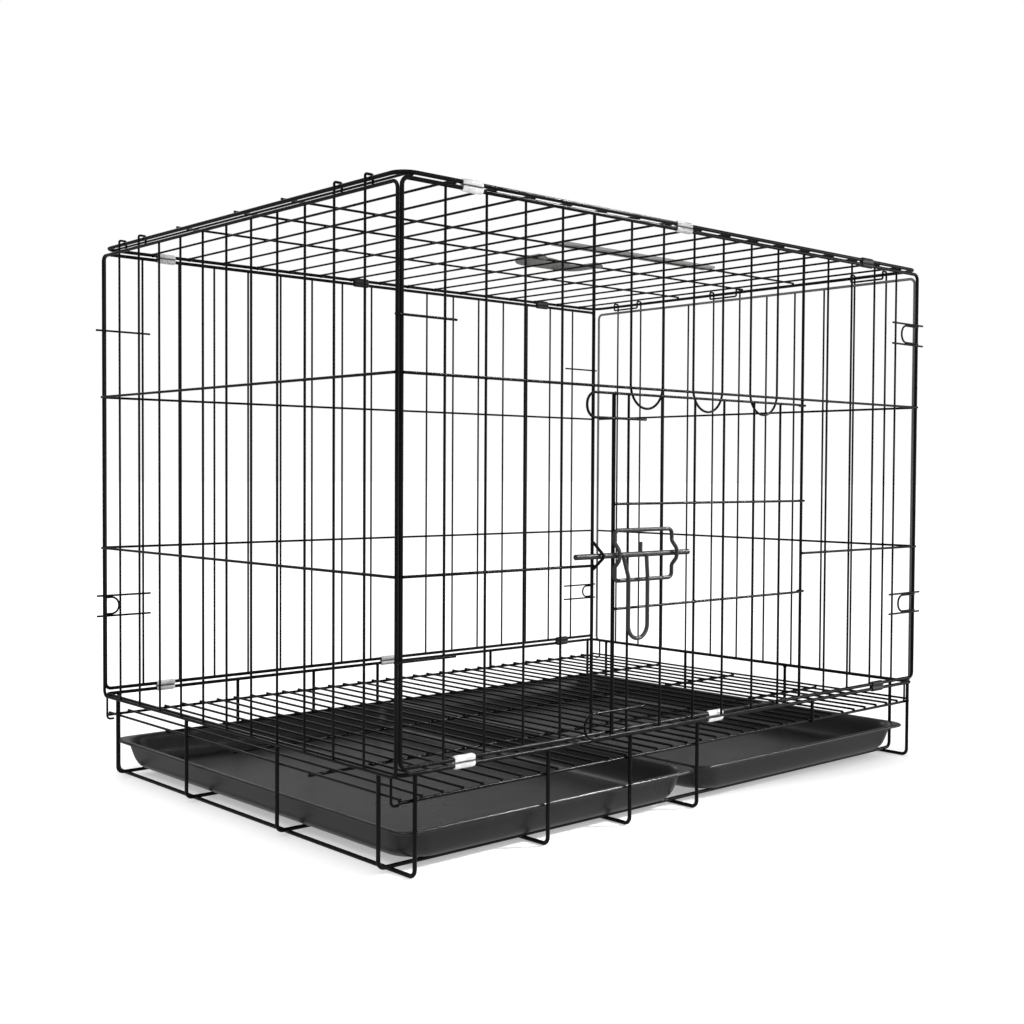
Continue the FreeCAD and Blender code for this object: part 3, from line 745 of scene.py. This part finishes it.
def build_clip_tree():
    """A sleeve with a figure-of-eight section on every place."""
    tree, given, result = geometry_tree(
        "folded_clips",
        [("Length", FLOAT, 0.017), ("Spacing", FLOAT, 0.0044), ("Girth", FLOAT, 0.00235),
         ("Waist", FLOAT, 0.34)])
    length, spacing = given.outputs["Length"], given.outputs["Spacing"]
    ring = add(tree, "GeometryNodeCurvePrimitiveCircle", {"Resolution": 48})
    wire(tree, (given, "Girth"), (ring, "Radius"))
    here = add(tree, "GeometryNodeInputPosition")
    split = add(tree, "ShaderNodeSeparateXYZ")
    wire(tree, (here, "Position"), (split, "Vector"))
    side, rise = split.outputs["X"], split.outputs["Y"]
    share = maths(tree, "DIVIDE", rise, given.outputs["Girth"])
    step = maths(tree, "MULTIPLY", share, LIFT_STEEPNESS)
    held = maths(tree, "MINIMUM", maths(tree, "MAXIMUM", step, -1.0), 1.0)
    lift = maths(tree, "MULTIPLY", held, maths(tree, "MULTIPLY", spacing, 0.5))
    lifted = maths(tree, "ADD", rise, lift)
    reach = maths(tree, "ABSOLUTE", maths(tree, "DIVIDE", lifted, spacing))
    away = maths(tree, "MINIMUM", maths(tree, "MULTIPLY", reach, WAIST_ENDS), 1.0)
    near = maths(tree, "SUBTRACT", 1.0, away)
    slope = maths(tree, "SUBTRACT", 3.0, maths(tree, "MULTIPLY", near, 2.0))
    eased = maths(tree, "MULTIPLY", maths(tree, "MULTIPLY", near, near), slope)
    drawn_in = maths(tree, "MULTIPLY", eased, given.outputs["Waist"])
    narrow = maths(tree, "SUBTRACT", 1.0, drawn_in)
    moved = vector_of(tree, X=maths(tree, "MULTIPLY", side, narrow), Y=lifted)
    shaped = add(tree, "GeometryNodeSetPosition")
    wire(tree, (ring, "Curve"), (shaped, "Geometry"))
    wire(tree, (moved, "Vector"), (shaped, "Position"))
    mark = add(tree, "GeometryNodeStoreNamedAttribute", {"Name": "seam"},
               data_type="FLOAT", domain="POINT")
    wire(tree, (shaped, "Geometry"), (mark, "Geometry"))
    tree.links.new(maths(tree, "POWER", eased, SEAM_SHARPNESS), mark.inputs["Value"])

    line = add(tree, "GeometryNodeCurvePrimitiveLine")
    for end, half in (("Start", -0.5), ("End", 0.5)):
        corner = vector_of(tree, X=maths(tree, "MULTIPLY", length, half))
        wire(tree, (corner, "Vector"), (line, end))
    steps = add(tree, "GeometryNodeResampleCurve", {"Count": 15})
    wire(tree, (line, "Curve"), (steps, "Curve"))
    along = add(tree, "GeometryNodeSplineParameter")
    off_middle = maths(tree, "SUBTRACT", along.outputs["Factor"], 0.5)
    edge = maths(tree, "MULTIPLY", maths(tree, "ABSOLUTE", off_middle), 2.0)
    dressed = maths(tree, "MULTIPLY", maths(tree, "POWER", edge, DRESSED_SHARPNESS),
                    DRESSED_SHARE)
    sleeve = add(tree, "GeometryNodeCurveToMesh", {"Fill Caps": True})
    wire(tree, (steps, "Curve"), (sleeve, "Curve"))
    wire(tree, (mark, "Geometry"), (sleeve, "Profile Curve"))
    tree.links.new(maths(tree, "SUBTRACT", 1.0, dressed), sleeve.inputs["Scale"])
    put_on_points(tree, given, result, (sleeve, "Mesh"))
    return tree


MM_IN_M = 1000


def size_in_mm(ob):
    """The size of an object, for the lines that the cells print."""
    return [round(v * MM_IN_M, 1) for v in ob.dimensions]


CLIP_TREE = build_clip_tree()
# How far each clip is darkened towards black, from left to right: 0 is plain zinc, 1 is
# black.
DARKENED_CLIPS = {"base_clips_front": (0, 0, 1), "base_clips_back": (0, 0, 1),
          "top_clips_front": (0, 0.3, 1), "top_clips_back": (0.3, 1, 1)}
for node, dipped in DARKENED_CLIPS.items():
    boxes = sorted(wire_boxes(node), key=lambda box: box[0].x)
    middles = [(low + high) / 2 for low, high in boxes]
    low, high = boxes[0]
    girth = (high.y - low.y) / 2
    places = point_mesh(node + "_places", middles, dipped=[float(d) for d in dipped])
    clips = grow("folded_" + node, places, CLIP_TREE,
                 {"Length": high.x - low.x, "Spacing": high.z - low.z - 2 * girth,
                  "Girth": girth, "Finish": zinc_clip},
                 BODY_OF[node], hides=[node])
    print(clips.name, len(boxes), "clips", size_in_mm(clips), "mm")

# %% [markdown]
# On the top panel each cross wire is forged a little where it meets the border: its end is
# squashed into a wedge that hangs under the wire.  A cone would look turned on a lathe, so
# a third small tree makes one wedge as a short bent, tapering sweep and puts it on both
# ends of every wire, turned inwards.


# %% Forged wire ends
DROP_ENDS = 0.45              # share of the wedge's length where it starts to rise


def build_end_tree():
    """A tapering wedge on every wire end, turned inwards."""
    tree, given, result = geometry_tree(
        "forged_ends",
        [("Length", FLOAT, 0.0088), ("Root Radius", FLOAT, 0.0019),
         ("Wire Radius", FLOAT, 0.0009), ("Drop", FLOAT, 0.0007)])
    length = given.outputs["Length"]
    down = maths(tree, "MULTIPLY", given.outputs["Drop"], -1.0)
    path = add(tree, "GeometryNodeCurveQuadraticBezier", {"Resolution": 6})
    halfway = maths(tree, "MULTIPLY", length, DROP_ENDS)
    for label, corner in (("Start", vector_of(tree, Z=down)),
                          ("Middle", vector_of(tree, Y=halfway, Z=down)),
                          ("End", vector_of(tree, Y=length))):
        wire(tree, (corner, "Vector"), (path, label))
    along = add(tree, "GeometryNodeSplineParameter")
    shrink = add(tree, "ShaderNodeMapRange", interpolation_type="SMOOTHSTEP")
    wire(tree, (along, "Factor"), (shrink, "Value"))
    wire(tree, (given, "Root Radius"), (shrink, "To Min"))
    wire(tree, (given, "Wire Radius"), (shrink, "To Max"))
    ring = add(tree, "GeometryNodeCurvePrimitiveCircle", {"Resolution": 8, "Radius": 1.0})
    wedge = add(tree, "GeometryNodeCurveToMesh", {"Fill Caps": True})
    wire(tree, (path, "Curve"), (wedge, "Curve"))
    wire(tree, (shrink, "Result"), (wedge, "Scale"))
    wire(tree, (ring, "Curve"), (wedge, "Profile Curve"))
    inward = add(tree, "GeometryNodeInputNamedAttribute", {"Name": "inward"},
                 data_type="FLOAT_VECTOR")
    aim = add(tree, "FunctionNodeAlignRotationToVector", axis="Y", pivot_axis="Z")
    wire(tree, (inward, "Attribute"), (aim, "Vector"))
    put_on_points(tree, given, result, (wedge, "Mesh"), Rotation=(aim, "Rotation"))
    return tree


END_TREE = build_end_tree()
ends = []
inward = []
for low, high in wire_boxes("top_cross_wires"):
    x = (low.x + high.x) / 2
    z = (low.z + high.z) / 2
    ends += [Vector((x, low.y, z)), Vector((x, high.y, z))]
    inward += [Vector((0, 1, 0)), Vector((0, -1, 0))]
forged = grow("forged_wire_ends", point_mesh("wire_ends", ends, inward=inward),
              END_TREE, {"Finish": black_wire}, "top")
print(forged.name, len(ends), "ends", len(forged.data.polygons), "faces")

# %% [markdown]
# The trays are thin sheets of plastic drawn into a mould.  A box with bevels would have one
# slope all the way up, so their section is drawn once, in millimetres, as steps of inset
# from the lip's edge and height over the foot: up the outside in a soft S, round the thin
# rolled lip and down the inside.  The section is laid round a rectangle with rounded
# corners, whose corner is tighter at the lip than at the walls.

# %% Tray section
TRAY_DEPTH = 24.0
TRAY_SECTION = [(20.0, 0.0), (17.5, 0.05), (15.5, 0.5), (13.2, 1.5), (11.2, 3.0),
                (9.6, 5.0), (8.4, 7.4), (7.4, 10.2), (6.5, 13.4), (5.7, 16.6),
                (5.0, 19.2), (4.2, 21.0), (3.2, 21.9), (2.0, 22.2), (1.1, 22.1),
                (0.6, 21.7), (0.25, 21.6), (0.0, 22.2), (0.05, 23.1), (0.35, 23.7),
                (0.95, 23.98), (2.0, 24.0), (3.2, 23.8), (4.3, 23.3), (5.3, 22.3),
                (6.2, 20.6), (7.0, 18.2), (7.9, 14.8), (8.8, 11.4), (9.8, 8.6),
                (11.0, 6.2), (12.6, 4.3), (14.6, 2.8), (17.0, 1.9), (20.0, 1.62),
                (23.0, 1.6)]
LIP_REACH = 4.0
LIP_CORNER, WALL_CORNER = 11.0, 22.0
CORNER_STEPS = 12


def rounded_ring(low, high, inset, corner):
    """Points round a rectangle that is inset all round, corner by corner."""
    x0, x1 = low.x + inset, high.x - inset
    y0, y1 = low.y + inset, high.y - inset
    middles = ((x1 - corner, y0 + corner, -90), (x1 - corner, y1 - corner, 0),
               (x0 + corner, y1 - corner, 90), (x0 + corner, y0 + corner, 180))
    points = []
    for cx, cy, start in middles:
        for step in range(CORNER_STEPS + 1):
            angle = math.radians(start + 90 * step / CORNER_STEPS)
            points.append((cx + corner * math.cos(angle), cy + corner * math.sin(angle)))
    return points


def skin_over(shell, rings):
    """Faces from ring to ring, and a cap on each end; gives the two caps."""
    for a, b in zip(rings, rings[1:]):
        for i in range(len(a)):
            j = (i + 1) % len(a)
            shell.faces.new((a[i], a[j], b[j], b[i]))
    return shell.faces.new(list(reversed(rings[0]))), shell.faces.new(rings[-1])


print("tray section", len(TRAY_SECTION), "steps", TRAY_DEPTH, "mm high")


# %% Trays
def drawn_tray(node):
    """Closed shell of one tray inside the box of its CAD node."""
    low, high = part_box(node)
    shell = bmesh.new()
    rings = []
    for inset, height in TRAY_SECTION:
        share = min(inset / LIP_REACH, 1.0)
        corner = (LIP_CORNER + (WALL_CORNER - LIP_CORNER) * share) / MM_IN_M
        z = low.z + (high.z - low.z) * height / TRAY_DEPTH
        rings.append([shell.verts.new((x, y, z)) for x, y in
                      rounded_ring(low, high, inset / MM_IN_M, corner)])
    caps = skin_over(shell, rings)
    for face in shell.faces:
        face.smooth = face not in caps
    bmesh.ops.recalc_face_normals(shell, faces=shell.faces)
    name = node.replace("tray_", "drawn_tray_")
    mesh = bpy.data.meshes.new(name)
    shell.to_mesh(mesh)
    shell.free()
    piece = bpy.data.objects.new(name, mesh)
    bpy.context.collection.objects.link(piece)
    mesh.materials.append(tray_plastic)
    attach(piece, BODY_OF[node])
    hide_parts(node)
    return piece


for node in ("tray_left", "tray_right"):
    tray = drawn_tray(node)
    print(tray.name, len(tray.data.polygons), "faces", size_in_mm(tray), "mm")

# %% [markdown]
# The carrying handle is one soft moulding: two flat arms that snap over a wire of the top
# and a round grip between them that is thickest in the middle, with shallow waves for the
# fingers.  A curve with a bevel has one section only, and here it goes from flat to round.
# So rings are laid along the U of its centre line, and their width and height change on
# the way.  It lies on the cross wires, so its underside stays level.

# %% Carrying handle
arms_low, arms_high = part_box("handle_arms")
grip_low, grip_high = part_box("handle_grip")
ARM_WIDE = 0.009
ARM_THICK = 0.005
GRIP_THICK = grip_high.z - grip_low.z
GRIP_END_THICK, GRIP_END_WIDE = 0.72, 0.86    # shares of the grip's full thickness
ARM_BLUNTNESS = 0.55                          # 1 is an oval section, 0 a square one
FINGER_WAVE, FINGER_PITCH = 0.00045, 0.019
EYE_RADIUS, EYE_BORE, EYE_DROP = 0.0032, 0.001, 0.0006
HANDLE_CORNER = 0.014
SECTION_POINTS = 20
ARM_STEPS, GRIP_STEPS = 8, 48
EYE_STEPS, BORE_STEPS = 14, 10


def handle_line():
    """(x, y, dx, dy, share) along the U: share is 0 at the eyes and 1 on the grip."""
    left = arms_low.x + ARM_WIDE / 2
    right = arms_high.x - ARM_WIDE / 2
    middle = (left + right) / 2
    eye_y = arms_low.y + EYE_RADIUS
    top_y = grip_high.y - GRIP_THICK / 2
    arm = top_y - HANDLE_CORNER - eye_y
    side = [(left, eye_y + arm * i / ARM_STEPS, 0.0, 1.0, 0.0)
            for i in range(ARM_STEPS + 1)]
    for i in range(1, ARM_STEPS + 1):
        a = math.radians(90 * i / ARM_STEPS)
        side.append((left + HANDLE_CORNER * (1 - math.cos(a)),
                     top_y - HANDLE_CORNER * (1 - math.sin(a)),
                     math.sin(a), math.cos(a), i / ARM_STEPS))
    grip = right - left - 2 * HANDLE_CORNER
    across = [(left + HANDLE_CORNER + grip * i / GRIP_STEPS, top_y, 1.0, 0.0, 1.0)
              for i in range(1, GRIP_STEPS)]
    mirrored = [(2 * middle - x, y, dx, -dy, s) for x, y, dx, dy, s in reversed(side)]
    return side + across + mirrored, middle, right - left


def moulded_handle():
    """Swept body of the arms and the grip."""
    line, middle, span = handle_line()
    shell = bmesh.new()
    rings = []
    for x, y, dx, dy, share in line:
        eased = share * share * (3 - 2 * share)
        swell = math.cos((x - middle) / span * math.pi) if share == 1.0 else 0.0
        wave = FINGER_WAVE * math.cos((x - middle) * 2 * math.pi / FINGER_PITCH) * swell
        thick = ARM_THICK + (GRIP_THICK * GRIP_END_THICK - ARM_THICK) * eased
        thick += GRIP_THICK * (1 - GRIP_END_THICK) * max(swell, 0.0)
        wide = ARM_WIDE + (GRIP_THICK * GRIP_END_WIDE - ARM_WIDE) * eased
        wide += GRIP_THICK * (1 - GRIP_END_WIDE) * max(swell, 0.0)
        power = ARM_BLUNTNESS + (1 - ARM_BLUNTNESS) * eased
        side = Vector((dy, -dx, 0))
        ring = []
        for k in range(SECTION_POINTS):
            a = 2 * math.pi * k / SECTION_POINTS
            c, s = math.cos(a), math.sin(a)
            across = math.copysign(abs(c) ** power, c) * wide / 2
            if c > 0:
                across += wave * c
            rise = math.copysign(abs(s) ** power, s) * thick / 2
            spot = Vector((x, y, arms_low.z + thick / 2 + rise))
            ring.append(shell.verts.new(spot + side * across))
        rings.append(ring)
    skin_over(shell, rings)
    return shell


def arc(radius, start, end, steps):
    """Points on a circle from one angle to another."""
    angles = [start + (end - start) * i / steps for i in range(steps + 1)]
    return [(radius * math.cos(a), radius * math.sin(a)) for a in angles]


def add_eyes(shell):
    """Snap-on eyes at both ends: thick hooks over the wire, open below."""
    axis_y = arms_low.y + EYE_RADIUS
    axis_z = arms_low.z + EYE_DROP
    outside = math.asin(-EYE_DROP / EYE_RADIUS)
    inside = math.asin(-EYE_DROP / EYE_BORE)
    section = (arc(EYE_RADIUS, outside, math.pi - outside, EYE_STEPS)
               + arc(EYE_BORE, math.pi - inside, inside, BORE_STEPS))
    for x0 in (arms_low.x, arms_high.x - ARM_WIDE):
        skin_over(shell, [[shell.verts.new((x, axis_y + u, axis_z + v))
                           for u, v in section] for x in (x0, x0 + ARM_WIDE)])


shell = moulded_handle()
add_eyes(shell)
bmesh.ops.recalc_face_normals(shell, faces=shell.faces)
for face in shell.faces:
    face.smooth = len(face.verts) == 4
handle_mesh = bpy.data.meshes.new("carrying_handle")
shell.to_mesh(handle_mesh)
shell.free()
handle = bpy.data.objects.new("carrying_handle", handle_mesh)
bpy.context.collection.objects.link(handle)
handle_mesh.materials.append(grey_plastic)
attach(handle, "handle")
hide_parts("handle_arms", "handle_grip")
print(handle.name, len(handle_mesh.polygons), "faces", size_in_mm(handle), "mm")
